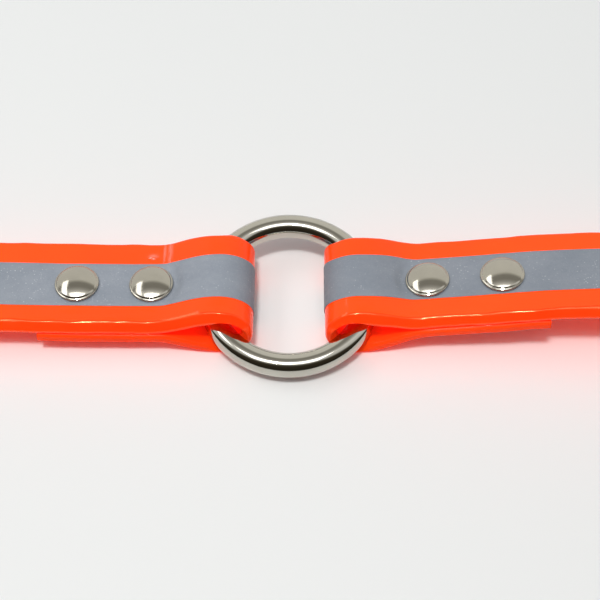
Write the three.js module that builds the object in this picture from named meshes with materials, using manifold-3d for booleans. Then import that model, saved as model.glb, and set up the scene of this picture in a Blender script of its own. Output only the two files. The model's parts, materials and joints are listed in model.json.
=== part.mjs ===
// Centre-ring dog collar, opened out flat on a table.
// Coated-webbing straps, a reflective tape down each strap, a welded ring in
// the middle, cap rivets, and a roller buckle with a keeper at one end.
// Millimetres, +Z up, table at z = 0, ring centre at x = 0 and y = 0,
// buckle end towards -X, punched end towards +X. "Far" is +Y, "near" is -Y.

import * as THREE from 'three';
import { mergeVertices } from 'three/addons/utils/BufferGeometryUtils.js';
import Module from 'manifold-3d';

const { degToRad, clamp, smoothstep } = THREE.MathUtils;

// ---- driving dimensions ------------------------------------------------

// overall
const HALF_LENGTH = 215; // each end of the open collar from the ring centre
const STRAP_Y = 0.45; // centreline of both straps, beside the ring centre

// strap: thermoplastic-coated webbing
const STRAP_W = 25.4;
const STRAP_T = 2.8;
// rounding of the long edges: depth across the width, inset through the thickness
const STRAP_EDGE = { depth: 0.9, inset: 0.8, segments: 1 };
const LAYER_PITCH = 3.0; // between mid-planes of two riveted layers
const HALF_PITCH = LAYER_PITCH / 2;

// reflective tape, bonded down the outer face
const TAPE_W = 12.3;
const TAPE_SHIFT = 0.8; // the punched strap's tape sits a little nearer its far edge
const TAPE_T = 0.2;
const TAPE_GAP = 0.1; // glue line
const TAPE_EDGE = { depth: 0, inset: 0, segments: 1 }; // left square

// ring: welded round wire
const RING_R = 18.8; // to the wire's centre
const WIRE_R = 2.87;
const RING_Z = 7.2;
const RING_TILT = 7.6; // degrees, far side up

// loops of strap round the ring
const LOOP_Z = 7.3; // height of the loop's middle
const LOOP_NOSE = 9.8; // |x| of the nose, at mid-thickness
const LOOP_PEAK = 16.5; // |x| of the fullest point
const LOOP_HALF = 5.35; // half height there, at mid-thickness
const LOOP_THROAT = 32; // |x| where the two layers meet
const PIVOT_X = 15.35; // |x| of the axis each strap turns about
const PIVOT_CLEAR = 0.16; // between the ring's sweep and the loop

// slope across the width
const LOOP_TWIST = 0.0384; // at the loops, far edge up
const RAISED_TWIST = -0.07; // along the raised part of the punched strap, near edge up
const TWIST_FROM = 17; // |x| where the loop's slope starts to change
const TWIST_TO_LEFT = 31;
const TWIST_TO_RIGHT = 33;
const UNTWIST_FROM = 76; // x range where the raised part levels out
const UNTWIST_TO = 126;

// riveted zone
const PAIR_Z = 7.1; // height of the plane between the two layers
const RIVETS_LEFT = [-32.5, -50.1];
const RIVETS_RIGHT = [32.9, 50.2];
const RETURN_LEFT = -58.6; // cut end of the turned-back layer
const RETURN_RIGHT = 60.1;

// cap rivets
const CAP_R = 5.2;
const CAP_RIM = 0.65;
const CAP_H = 2.2;
const CAP_CHAMFER_R = 0.3; // under the rim, radially
const CAP_CHAMFER_H = 0.25; // and along the axis
const CAP_GAP = 0.12;
const DOME_RADII = [CAP_R, 4.5, 3.5, 2.2, 1.0]; // profile points down to the centre
const POST_R = 1.95;
const POST_BORE = 1.4;
const POST_END = 0.5; // short of the opposite cap's underside
const BORE_FLOOR = 0.4; // below the post's own cap underside
const STUD_R = 1.25;
const STUD_END = 1.1; // short of the opposite cap's underside
const RIVET_HOLE_R = 2.25;
const SEAT_CLEAR = 0.15; // round the cap

// roller buckle
const BAR_R = 2.0;
const BUCKLE_SPAN = 26; // heel bar to front bar
const BUCKLE_IN_W = 28; // clear width between the side bars
const FRAME_T = 3.9;
const FRAME_CORNER_R = 4.6;
const FRAME_IN_CORNER_R = 1.0;
const FRAME_EDGE = { depth: 1.5, inset: 1.5, segments: 2 };
const ROLLER_R = 3.2;
const ROLLER_BORE = 2.35;
const ROLLER_L = 25.4;
const ROLLER_CHAMFER_R = 0.3;
const ROLLER_CHAMFER_L = 0.4;
const BUCKLE_SAG = 4.9; // degrees, roller down on the table
const HEEL_Z = 5.5;
const HEEL = HALF_LENGTH - ROLLER_R - BUCKLE_SPAN * Math.cos(degToRad(BUCKLE_SAG)); // |x|
const HEEL_X = -HEEL;
const TONGUE_R = 1.6;
const CURL_CLEAR = 0.28; // between heel bar and tongue
const FOLD_R = 3.75; // strap mid-thickness round the heel bar
const FOLD_OPENING = 11; // length over which the layers part for the fold
const BUCKLE_RIVETS = [16, 38]; // from the heel bar
const BUCKLE_RETURN = 47;

// slot for the tongue, x from the heel bar
const SLOT_W = 5.4;
const SLOT_OPEN_X = -12;
const SLOT_ARC_X = 8.3; // centre of the rounded end
const SLOT_CUT_Z = -6;
const SLOT_CUT_H = 24;

// keeper
const KEEPER_AT = 27; // from the heel bar
const KEEPER_L = 5;
const KEEPER_T = 1.5;
const KEEPER_IN_W = 27;
const KEEPER_FOOT = 0.05; // underside
const KEEPER_H = 14.6; // top
const KEEPER_CORNER_R = 2.2;
const KEEPER_IN_CORNER_R = 0.8;
const KEEPER_EDGE = { depth: 0.4, inset: 0.35, segments: 1 };

// tongue holes and tip
const HOLES = [190, 165, 140, 115, 90];
const HOLE_R = 2.5;
const HOLE_CUT_H = 12;
const TIP_L = 17; // length of the rounding at the strap's tip, in plan
const TIP_BULGE = 1.5; // curve control point, in from the tip and from the edge
const TIP_OVERCUT = 0.2; // beyond the strap's edge where the rounding starts
const TIP_CUT = { beyond: 3, halfWidth: 20, z: -4, height: 12 };

// ---- spines --------------------------------------------------------------

const FLAT_FROM = 138; // x from which the punched strap lies on the table
const FLAT_Z = STRAP_T / 2 - HALF_PITCH;

// Plane between two layers: [|x|, z]. Where there is one layer it stays
// half a pitch above this height.
const spineLeft = through([
  [0, LOOP_Z],
  [17, LOOP_Z],
  [34, PAIR_Z],
  [50, PAIR_Z + 0.2],
  [72, PAIR_Z + 0.8],
  [146, HEEL_Z],
  [200, HEEL_Z],
]);
const spineRight = through([
  [0, LOOP_Z],
  [17, LOOP_Z],
  [24, LOOP_Z + 0.2],
  [34, 8.7],
  [50.2, 10.6],
  [60, 11.8],
  [77, 12.7],
  [94, 10.9],
  [112, 5.6],
  [126, 1.3],
  [FLAT_FROM, FLAT_Z],
  [HALF_LENGTH, FLAT_Z],
]);

// a smooth curve z(x) through [x, z] stations, with no overshoot between them
function through(stations) {
  const last = stations.length - 1;
  const chord = (i) => {
    const [[x0, z0], [x1, z1]] = [stations[i], stations[i + 1]];
    return (z1 - z0) / (x1 - x0);
  };
  const slopes = stations.map((_, i) => {
    if (i === 0 || i === last) return 0;
    const before = chord(i - 1);
    const after = chord(i);
    return before * after <= 0 ? 0 : (2 * before * after) / (before + after);
  });
  return (x) => {
    if (x <= stations[0][0]) return stations[0][1];
    if (x >= stations[last][0]) return stations[last][1];
    let i = 0;
    while (x > stations[i + 1][0]) i++;
    const [[x0, z0], [x1, z1]] = [stations[i], stations[i + 1]];
    const span = x1 - x0;
    const t = (x - x0) / span;
    return (
      z0 * (1 + 2 * t) * (1 - t) ** 2 +
      slopes[i] * span * t * (1 - t) ** 2 +
      z1 * t * t * (3 - 2 * t) +
      slopes[i + 1] * span * t * t * (t - 1)
    );
  };
}

// slope of a spine, measured over one millimetre
const slopeAt = (spine, x) => spine(x + 0.5) - spine(x - 0.5);

// slope across the width, as a function of x
function twist(x) {
  if (x < 0) return LOOP_TWIST * (1 - smoothstep(-x, TWIST_FROM, TWIST_TO_LEFT));
  const raised = smoothstep(x, TWIST_FROM, TWIST_TO_RIGHT);
  const level = smoothstep(x, UNTWIST_FROM, UNTWIST_TO);
  return LOOP_TWIST * (1 - raised) + RAISED_TWIST * raised * (1 - level);
}

// ---- solids --------------------------------------------------------------

const wasm = await Module();
wasm.setup();

function solid(geometry, matrix) {
  const bare = geometry.clone();
  if (matrix) bare.applyMatrix4(matrix);
  for (const name of ['normal', 'uv']) bare.deleteAttribute(name);
  const merged = mergeVertices(bare, 1e-5);
  return new wasm.Manifold(
    new wasm.Mesh({
      numProp: 3,
      vertProperties: new Float32Array(merged.attributes.position.array),
      triVerts: new Uint32Array(merged.index.array),
    }),
  );
}

function geometryOf(body) {
  const mesh = body.getMesh();
  const geometry = new THREE.BufferGeometry();
  const positions = new Float32Array(mesh.vertProperties);
  geometry.setAttribute('position', new THREE.BufferAttribute(positions, 3));
  geometry.setIndex(new THREE.BufferAttribute(new Uint32Array(mesh.triVerts), 1));
  geometry.computeVertexNormals();
  return geometry;
}

const cutAll = (body, tools) => tools.reduce((rest, tool) => rest.subtract(tool), body);

// a shape extruded to a full thickness centred on z = 0, with its edges eased
function slab(shape, thickness, edge, options) {
  const depth = thickness - 2 * edge.depth;
  const geometry = new THREE.ExtrudeGeometry(shape, {
    depth,
    bevelEnabled: edge.depth > 0,
    bevelThickness: edge.depth,
    bevelSize: edge.inset,
    bevelOffset: -edge.inset,
    bevelSegments: edge.segments,
    ...options,
  });
  return geometry.translate(0, 0, -depth / 2);
}

// a lathe form from [radius, height] pairs, about the Y axis
function lathe(pairs, segments) {
  const profile = pairs.map(([radius, height]) => new THREE.Vector2(radius, height));
  return new THREE.LatheGeometry(profile, segments);
}

// a round cutter along Z
const roundCutter = (radius, height, segments) =>
  new THREE.CylinderGeometry(radius, radius, height, segments).rotateX(Math.PI / 2);

function roundedRect(x0, y0, x1, y1, r) {
  return new THREE.Shape()
    .moveTo(x0 + r, y0)
    .lineTo(x1 - r, y0)
    .absarc(x1 - r, y0 + r, r, -Math.PI / 2, 0, false)
    .lineTo(x1, y1 - r)
    .absarc(x1 - r, y1 - r, r, 0, Math.PI / 2, false)
    .lineTo(x0 + r, y1)
    .absarc(x0 + r, y1 - r, r, Math.PI / 2, Math.PI, false)
    .lineTo(x0, y0 + r)
    .absarc(x0 + r, y0 + r, r, Math.PI, 1.5 * Math.PI, false)
    .closePath();
}

// ---- strap centre lines ----------------------------------------------------

const steps = (from, to, count) =>
  Array.from({ length: count + 1 }, (_, i) => from + ((to - from) * i) / count);

// values from a start through successive [to, count] runs
function runs(start, ...legs) {
  const values = [start];
  let from = start;
  for (const [to, count] of legs) {
    values.push(...steps(from, to, count).slice(1));
    from = to;
  }
  return values;
}

// cosine ease, 0 at the first limit and 1 at the second
const ease = (x, from, to) =>
  0.5 - 0.5 * Math.cos(Math.PI * clamp((x - from) / (to - from), 0, 1));

// half the distance between the layers' mid-thickness lines near the ring
const loopGap = (x) =>
  HALF_PITCH + (LOOP_HALF - HALF_PITCH) * (1 - ease(x, LOOP_PEAK, LOOP_THROAT));

// and near the heel bar
const foldGap = (x) =>
  HALF_PITCH + (FOLD_R - HALF_PITCH) * ease(x, HEEL - FOLD_OPENING, HEEL);

// mid-thickness line from the cut end, below, round the ring and back out above
function loopLine(side, returnX, spine) {
  const line = [];
  const put = (x, z) => line.push(new THREE.Vector2(side * x, z));
  for (const x of runs(returnX, [LOOP_THROAT, 4], [LOOP_PEAK, 8])) put(x, spine(x) - loopGap(x));
  for (const angle of steps(-90, 90, 12).slice(1, -1).map(degToRad))
    put(
      LOOP_PEAK - (LOOP_PEAK - LOOP_NOSE) * Math.cos(angle),
      spine(LOOP_PEAK) + LOOP_HALF * Math.sin(angle),
    );
  for (const x of runs(LOOP_PEAK, [LOOP_THROAT, 8], [returnX, 4])) put(x, spine(x) + loopGap(x));
  return line;
}

// on to the heel bar, round it, and back underneath
function leftLine() {
  const line = loopLine(-1, -RETURN_LEFT, spineLeft);
  const put = (x, z) => line.push(new THREE.Vector2(x, z));
  const cutEnd = HEEL - BUCKLE_RETURN;
  const opening = HEEL - FOLD_OPENING;
  for (const x of runs(-RETURN_LEFT, [cutEnd, 7], [opening, 3], [HEEL, 5]).slice(1))
    put(-x, spineLeft(x) + foldGap(x));
  for (const angle of steps(90, -90, 8).slice(1, -1).map(degToRad))
    put(HEEL_X - FOLD_R * Math.cos(angle), HEEL_Z + FOLD_R * Math.sin(angle));
  for (const x of runs(HEEL, [opening, 5], [cutEnd, 3])) put(-x, spineLeft(x) - foldGap(x));
  return line;
}

// on as a single layer to the tip
function rightLine() {
  const line = loopLine(1, RETURN_RIGHT, spineRight);
  for (const x of runs(RETURN_RIGHT, [FLAT_FROM, 15], [HALF_LENGTH, 3]).slice(1))
    line.push(new THREE.Vector2(x, spineRight(x) + HALF_PITCH));
  return line;
}

// unit normals of a line, on the side of the outer face
function normals(line, side) {
  return line.map((_, i) => {
    const before = line[Math.max(0, i - 1)];
    const after = line[Math.min(line.length - 1, i + 1)];
    const along = after.clone().sub(before).normalize();
    return new THREE.Vector2(-along.y, along.x).multiplyScalar(side);
  });
}

// a ribbon: its side view between two offsets of the line, extruded over its
// width, with its long edges eased, then sloped across the width
function ribbon({ line, side, low, high, width, edge, shift = 0 }) {
  const outward = normals(line, side);
  const offset = (distance) => line.map((p, i) => p.clone().addScaledVector(outward[i], distance));
  const shape = new THREE.Shape([...offset(high), ...offset(low).reverse()]);
  const geometry = slab(shape, width, edge, { steps: 2 }).rotateX(Math.PI / 2);
  const position = geometry.attributes.position;
  for (let i = 0; i < position.count; i++) {
    const y = position.getY(i) + shift;
    position.setY(i, y + STRAP_Y);
    position.setZ(i, position.getZ(i) + y * twist(position.getX(i)));
  }
  return solid(geometry);
}

// ---- the ring and the room it needs in a loop ------------------------------

const ringBody = () =>
  solid(
    new THREE.TorusGeometry(RING_R, WIRE_R, 14, 56)
      .rotateX(degToRad(RING_TILT))
      .translate(0, 0, RING_Z),
  );

const SWEEP = {
  aroundRing: 1440, // sample points round the ring
  aroundWire: 90, // and round its wire
  fromX: 4, // |x| in the ring's plane beyond which it is sampled
  slice: 1.4, // along the pivot axis
  slices: 10, // each way from the pivot's middle
};

// the lathe form the ring sweeps as a strap turns about its pivot axis
function sweptForm(side) {
  const axis = new THREE.Vector3(0, 1, LOOP_TWIST).normalize();
  const pivot = new THREE.Vector3(side * PIVOT_X, STRAP_Y, LOOP_Z);
  const placement = new THREE.Matrix4()
    .makeRotationX(degToRad(RING_TILT))
    .setPosition(0, 0, RING_Z);

  // farthest distance from the axis in each slice
  const reach = new Map();
  const point = new THREE.Vector3();
  for (let i = 0; i < SWEEP.aroundRing; i++)
    for (let j = 0; j < SWEEP.aroundWire; j++) {
      const ringAngle = (i * Math.PI) / (SWEEP.aroundRing / 2);
      const wireAngle = (j * Math.PI) / (SWEEP.aroundWire / 2);
      const r = RING_R + WIRE_R * Math.cos(wireAngle);
      point.set(r * Math.cos(ringAngle), r * Math.sin(ringAngle), WIRE_R * Math.sin(wireAngle));
      if (point.x * side < SWEEP.fromX) continue;
      point.applyMatrix4(placement).sub(pivot);
      const along = point.dot(axis);
      const away = Math.sqrt(Math.max(0, point.lengthSq() - along * along));
      const slice = Math.floor(along / SWEEP.slice);
      reach.set(slice, Math.max(reach.get(slice) ?? 0, away));
    }

  // each profile point stands between two slices and clears both
  const radius = (k) => Math.max(reach.get(k) ?? 0, reach.get(k - 1) ?? 0) + PIVOT_CLEAR;
  const end = SWEEP.slices * SWEEP.slice;
  const marks = steps(-SWEEP.slices, SWEEP.slices, 2 * SWEEP.slices);
  const profile = [[0, -end], ...marks.map((k) => [radius(k), k * SWEEP.slice]), [0, end]];
  const turn = new THREE.Quaternion().setFromUnitVectors(new THREE.Vector3(0, 1, 0), axis);
  const frame = new THREE.Matrix4().compose(pivot, turn, new THREE.Vector3(1, 1, 1));
  return solid(lathe(profile, 30), frame);
}

// ---- rivets ----------------------------------------------------------------

// from the plane between the layers to the underside of a cap
const STACK = HALF_PITCH + STRAP_T / 2 + TAPE_GAP + TAPE_T + CAP_GAP;

// placed at the middle of the two layers, square to them
function rivetFrame(x, spine) {
  const slope = slopeAt(spine, Math.abs(x)) * Math.sign(x);
  const along = new THREE.Vector3(1, 0, slope).normalize();
  const across = new THREE.Vector3(0, 1, twist(x)).normalize();
  const up = along.clone().cross(across).normalize();
  across.copy(up).cross(along).normalize();
  return new THREE.Matrix4()
    .makeBasis(along, across, up)
    .setPosition(x, STRAP_Y, spine(Math.abs(x)));
}

// the shank's hole, and the seats the two caps press into the coat
function rivetCuts(frame) {
  const seatHeight = 6;
  const seatZ = STACK - CAP_GAP / 2 + seatHeight / 2;
  const seat = (z) => roundCutter(CAP_R + SEAT_CLEAR, seatHeight, 20).translate(0, 0, z);
  return [roundCutter(RIVET_HOLE_R, 16, 12), seat(seatZ), seat(-seatZ)].map((tool) =>
    solid(tool, frame),
  );
}

// domed cap, from its underside out round the rim and up to the crown
function capProfile() {
  const top = STACK + CAP_H;
  const rise = CAP_H - CAP_RIM;
  const sphere = (CAP_R * CAP_R + rise * rise) / (2 * rise);
  return [
    [CAP_R - CAP_CHAMFER_R, STACK],
    [CAP_R, STACK + CAP_CHAMFER_H],
    ...DOME_RADII.map((r) => [r, top - sphere + Math.sqrt(sphere * sphere - r * r)]),
    [0, top],
  ];
}

// upper half: domed cap with a solid stud
function studCap() {
  const profile = [
    [0, -STACK + STUD_END],
    [STUD_R, -STACK + STUD_END],
    [STUD_R, STACK],
    ...capProfile(),
  ];
  return lathe(profile, 16).rotateX(Math.PI / 2);
}

// lower half: domed cap with a tubular post that takes the stud, drawn cap up
// and turned over
function postCap() {
  const profile = [
    [0, STACK - BORE_FLOOR],
    [POST_BORE, STACK - BORE_FLOOR],
    [POST_BORE, -STACK + POST_END],
    [POST_R, -STACK + POST_END],
    [POST_R, STACK],
    ...capProfile(),
  ];
  return lathe(profile, 16)
    .rotateX(Math.PI / 2)
    .rotateX(Math.PI);
}

// ---- cuts through the straps -------------------------------------------------

// slot through the fold for the buckle's tongue
function tongueSlot() {
  const half = SLOT_W / 2;
  const shape = new THREE.Shape()
    .moveTo(SLOT_OPEN_X, -half)
    .lineTo(SLOT_ARC_X, -half)
    .absarc(SLOT_ARC_X, 0, half, -Math.PI / 2, Math.PI / 2, false)
    .lineTo(SLOT_OPEN_X, half)
    .closePath();
  const options = { depth: SLOT_CUT_H, bevelEnabled: false, curveSegments: 8 };
  const geometry = new THREE.ExtrudeGeometry(shape, options);
  return solid(geometry.translate(HEEL_X, STRAP_Y, SLOT_CUT_Z));
}

// all that lies outside the rounded tip
function tipCut() {
  const { beyond, halfWidth, z, height } = TIP_CUT;
  const shoulderX = HALF_LENGTH - TIP_L;
  const shoulderY = STRAP_W / 2 + TIP_OVERCUT;
  const bulgeX = HALF_LENGTH - TIP_BULGE;
  const bulgeY = STRAP_W / 2 - TIP_BULGE;
  const shape = new THREE.Shape()
    .moveTo(HALF_LENGTH + beyond, -halfWidth)
    .lineTo(shoulderX, -halfWidth)
    .lineTo(shoulderX, -shoulderY)
    .quadraticCurveTo(bulgeX, -bulgeY, HALF_LENGTH, 0)
    .quadraticCurveTo(bulgeX, bulgeY, shoulderX, shoulderY)
    .lineTo(shoulderX, halfWidth)
    .lineTo(HALF_LENGTH + beyond, halfWidth)
    .closePath();
  const options = { depth: height, bevelEnabled: false, curveSegments: 8 };
  return solid(new THREE.ExtrudeGeometry(shape, options).translate(0, STRAP_Y, z));
}

// a tongue hole, square to the strap's slope
function punchedHole(x) {
  const frame = new THREE.Matrix4()
    .makeRotationY(-Math.atan(slopeAt(spineRight, x)))
    .setPosition(x, STRAP_Y, spineRight(x) + HALF_PITCH);
  return solid(roundCutter(HOLE_R, HOLE_CUT_H, 16), frame);
}

// ---- keeper and buckle ---------------------------------------------------------

// a flat-wire loop standing round both layers
function keeperBody() {
  const inner = KEEPER_IN_W / 2;
  const outer = inner + KEEPER_T;
  const shape = roundedRect(-outer, KEEPER_FOOT, outer, KEEPER_H, KEEPER_CORNER_R);
  const floor = KEEPER_FOOT + KEEPER_T;
  const ceiling = KEEPER_H - KEEPER_T;
  shape.holes.push(roundedRect(-inner, floor, inner, ceiling, KEEPER_IN_CORNER_R));
  // stand the outline up across the strap: its x to Y, its y to Z
  const upright = new THREE.Matrix4().makeBasis(
    new THREE.Vector3(0, 1, 0),
    new THREE.Vector3(0, 0, 1),
    new THREE.Vector3(1, 0, 0),
  );
  const geometry = slab(shape, KEEPER_L, KEEPER_EDGE, { curveSegments: 4 });
  return solid(geometry.applyMatrix4(upright).translate(HEEL_X + KEEPER_AT, STRAP_Y, 0));
}

// buckle parts: origin at the middle of the heel bar, roller towards -X
function buckleFrame() {
  const inner = BUCKLE_IN_W / 2;
  const outer = inner + 2 * BAR_R;
  const shape = roundedRect(-BUCKLE_SPAN - BAR_R, -outer, BAR_R, outer, FRAME_CORNER_R);
  shape.holes.push(
    roundedRect(-BUCKLE_SPAN + BAR_R, -inner, -BAR_R, inner, FRAME_IN_CORNER_R),
  );
  return solid(slab(shape, FRAME_T, FRAME_EDGE, { curveSegments: 4 }));
}

function buckleRoller() {
  const end = ROLLER_L / 2;
  const profile = [
    [ROLLER_BORE, -end],
    [ROLLER_R - ROLLER_CHAMFER_R, -end],
    [ROLLER_R, -end + ROLLER_CHAMFER_L],
    [ROLLER_R, end - ROLLER_CHAMFER_L],
    [ROLLER_R - ROLLER_CHAMFER_R, end],
    [ROLLER_BORE, end],
    [ROLLER_BORE, -end],
  ];
  return solid(lathe(profile, 24).translate(-BUCKLE_SPAN, 0, 0));
}

// wire curled round the heel bar, then out over the roller
function buckleTongue() {
  const curl = BAR_R + CURL_CLEAR + TONGUE_R;
  const overRoller = ROLLER_R + TONGUE_R;
  // wire centre [x, z]
  const centres = [
    ...steps(-150, 88, 17).map(degToRad).map((a) => [curl * Math.cos(a), curl * Math.sin(a)]),
    [-3, curl + 0.1],
    [-8, curl + 0.45],
    [-14, curl + 0.8],
    [-20, curl + 1.05],
    [-25, overRoller + 0.25],
    [-28.6, overRoller - 0.45],
  ];
  const path = new THREE.CatmullRomCurve3(centres.map(([x, z]) => new THREE.Vector3(x, 0, z)));
  const section = new THREE.Shape().absarc(0, 0, TONGUE_R, 0, 2 * Math.PI, false);
  const options = { steps: 34, curveSegments: 5, extrudePath: path };
  return solid(new THREE.ExtrudeGeometry(section, options));
}

// ---- materials ---------------------------------------------------------------

const finish = (color, roughness, metalness) =>
  new THREE.MeshStandardMaterial({ color, roughness, metalness });
const ORANGE = 0xff4a1c;
const GREY = 0x949aa4;
const SILVER = 0xc9c5bd;

// colour, roughness, metalness
const coat = () => finish(ORANGE, 0.28, 0);
const tapeFinish = () => finish(GREY, 0.62, 0.1);
const nickel = () => finish(SILVER, 0.14, 1);

// ---- assembly ------------------------------------------------------------------

const collar = new THREE.Group();
collar.name = 'centre_ring_collar';

function add(parent, name, body, material) {
  const mesh = new THREE.Mesh(geometryOf(body), material);
  mesh.name = name;
  parent.add(mesh);
}

// a strap, relieved for the ring, and its tape; the cuts go through both
function addStrap({ name, line, side, cuts, tapeShift }) {
  const strap = ribbon({
    line,
    side,
    low: -STRAP_T / 2,
    high: STRAP_T / 2,
    width: STRAP_W,
    edge: STRAP_EDGE,
  });
  add(collar, name, cutAll(strap, [sweptForm(side), ...cuts]), coat());

  const tapeLow = STRAP_T / 2 + TAPE_GAP;
  const tape = ribbon({
    line,
    side,
    low: tapeLow,
    high: tapeLow + TAPE_T,
    width: TAPE_W,
    edge: TAPE_EDGE,
    shift: tapeShift,
  });
  add(collar, `${name}_tape`, cutAll(tape, cuts), tapeFinish());
}

function addRivet(name, frame) {
  add(collar, `rivet_${name}_stud`, solid(studCap(), frame), nickel());
  add(collar, `rivet_${name}_post`, solid(postCap(), frame), nickel());
}

// hung on its heel bar with the roller end down
function addBuckle() {
  const buckle = new THREE.Group();
  buckle.position.set(HEEL_X, STRAP_Y, HEEL_Z);
  buckle.rotation.y = -degToRad(BUCKLE_SAG);
  collar.add(buckle);
  add(buckle, 'buckle_frame', buckleFrame(), nickel());
  add(buckle, 'buckle_roller', buckleRoller(), nickel());
  add(buckle, 'buckle_tongue', buckleTongue(), nickel());
}

const leftRivets = [...RIVETS_LEFT, ...BUCKLE_RIVETS.map((distance) => HEEL_X + distance)];
const leftFrames = leftRivets.map((x) => rivetFrame(x, spineLeft));
const rightFrames = RIVETS_RIGHT.map((x) => rivetFrame(x, spineRight));

add(collar, 'centre_ring', ringBody(), nickel());
addStrap({
  name: 'buckle_strap',
  line: leftLine(),
  side: -1,
  cuts: [tongueSlot(), ...leftFrames.flatMap(rivetCuts)],
  tapeShift: 0,
});
addStrap({
  name: 'hole_strap',
  line: rightLine(),
  side: 1,
  cuts: [tipCut(), ...HOLES.map(punchedHole), ...rightFrames.flatMap(rivetCuts)],
  tapeShift: TAPE_SHIFT,
});

const rivetNames = [
  'ring_left_inner',
  'ring_left_outer',
  'buckle_front',
  'buckle_rear',
  'ring_right_inner',
  'ring_right_outer',
];
[...leftFrames, ...rightFrames].forEach((frame, i) => addRivet(rivetNames[i], frame));

add(collar, 'keeper_loop', keeperBody(), nickel());
addBuckle();

export default collar;
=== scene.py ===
import bpy, bmesh, math, json
import numpy as np
from mathutils import Vector, Matrix, Quaternion


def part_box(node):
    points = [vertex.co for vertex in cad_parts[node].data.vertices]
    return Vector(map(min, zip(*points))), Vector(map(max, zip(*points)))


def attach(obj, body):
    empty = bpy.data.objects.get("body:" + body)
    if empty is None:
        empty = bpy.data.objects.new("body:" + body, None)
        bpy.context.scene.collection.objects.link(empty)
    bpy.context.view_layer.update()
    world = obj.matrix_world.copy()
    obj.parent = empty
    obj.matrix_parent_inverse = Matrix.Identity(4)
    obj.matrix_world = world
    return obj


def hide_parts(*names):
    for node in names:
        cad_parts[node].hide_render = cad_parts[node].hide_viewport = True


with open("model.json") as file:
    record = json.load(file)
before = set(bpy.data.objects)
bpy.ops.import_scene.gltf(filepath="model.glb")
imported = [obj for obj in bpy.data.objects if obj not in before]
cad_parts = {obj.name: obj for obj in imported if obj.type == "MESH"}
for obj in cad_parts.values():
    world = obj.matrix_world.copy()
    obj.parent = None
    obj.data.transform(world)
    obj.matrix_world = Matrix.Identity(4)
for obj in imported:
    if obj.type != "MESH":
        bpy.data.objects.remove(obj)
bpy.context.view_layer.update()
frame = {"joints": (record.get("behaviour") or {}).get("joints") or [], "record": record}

MM = 0.001
rec = frame["record"]
joints = {j["name"]: j for j in frame["joints"]}
scene = bpy.context.scene
scene.view_settings.view_transform = "Standard"
scene.view_settings.look = "None"

# ------------------------------------------------------------------ frame data
def mm_box(node):
    lo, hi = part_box(node)
    return np.array(lo) / MM, np.array(hi) / MM

ring_lo, ring_hi = mm_box("centre_ring")
left_lo, left_hi = mm_box("buckle_strap")
right_lo, right_hi = mm_box("hole_strap")
pivot_l = np.array(joints["buckle_strap_swing"]["pos_m"]) / MM
pivot_r = np.array(joints["punched_strap_swing"]["pos_m"]) / MM
heel = np.array(joints["buckle_swing"]["pos_m"]) / MM
front = np.array(joints["roller_spin"]["pos_m"]) / MM

Y0 = float(pivot_l[1])
W, T, PITCH = 25.4, 2.8, 3.0
WIRE = 2.87
RING_R = (ring_hi[0] - ring_lo[0]) / 2 - WIRE
RING_Z = (ring_hi[2] + ring_lo[2]) / 2
RING_TILT = math.radians(7.6)
LOOP_Z, NOSE, PEAK, HALF, THROAT, TWIST = 7.3, 9.8, 16.5, 5.35, 32.0, 0.0384
PAIR_Z = 7.1
HEEL_X, HEEL_Z = float(heel[0]), float(heel[2])
END = float(right_hi[0])
RET_L, RET_R = -58.6, 60.1
FOLD_R, B_RETURN = 3.75, 47.0
SAG = math.atan2(heel[2] - front[2], heel[0] - front[0])
SPAN = math.hypot(heel[2] - front[2], heel[0] - front[0])
HOLES = [190, 165, 140, 115, 90]

# ------------------------------------------------------------------ strap form
def smooth(a, b, v):
    u = np.clip((v - a) / (b - a), 0, 1)
    return u * u * (3 - 2 * u)

def through(points):
    xs = np.array([p[0] for p in points], float)
    zs = np.array([p[1] for p in points], float)
    m = np.zeros(len(xs))
    for i in range(1, len(xs) - 1):
        a = (zs[i] - zs[i - 1]) / (xs[i] - xs[i - 1])
        b = (zs[i + 1] - zs[i]) / (xs[i + 1] - xs[i])
        m[i] = 0 if a * b <= 0 else 2 * a * b / (a + b)
    def f(x):
        x = np.clip(np.asarray(x, float), xs[0], xs[-1])
        i = np.clip(np.searchsorted(xs, x, side="right") - 1, 0, len(xs) - 2)
        h = xs[i + 1] - xs[i]
        t = (x - xs[i]) / h
        return (zs[i] * (1 + 2 * t) * (1 - t) ** 2 + m[i] * h * t * (1 - t) ** 2
                + zs[i + 1] * t * t * (3 - 2 * t) + m[i + 1] * h * t * t * (t - 1))
    return f

spine_l = through([(0, LOOP_Z), (17, LOOP_Z), (34, PAIR_Z), (50, PAIR_Z + 0.2), (72, PAIR_Z + 0.8), (146, HEEL_Z), (200, HEEL_Z)])
spine_r = through([(0, LOOP_Z), (17, LOOP_Z), (24, LOOP_Z + 0.2), (34, 8.7), (50.2, 10.6), (60, 11.8), (77, 12.7),
                   (94, 10.9), (112, 5.6), (126, 1.3), (138, T / 2 - PITCH / 2), (215, T / 2 - PITCH / 2)])

def twist(x):
    x = np.asarray(x, float)
    left = TWIST * (1 - smooth(17, 31, -x))
    right = TWIST * (1 - smooth(17, 33, x)) - 0.07 * smooth(17, 33, x) * (1 - smooth(76, 126, x))
    return np.where(x < 0, left, right)

def over(pts, lo, hi):
    """0 on the loop's lower half, rising to 1 on top of it"""
    x, z = np.abs(pts[:, 0]), pts[:, 1] - LOOP_Z
    return np.where(x < PEAK, smooth(lo, hi, z), (z > -1.0).astype(float))

def waist(pts):
    """where the strap's far edge is pulled in over the ring"""
    return over(pts, 0.3, 4.6) * (1 - smooth(16.5, 26, np.abs(pts[:, 0]))) * (pts[:, 1] > LOOP_Z)

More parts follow.
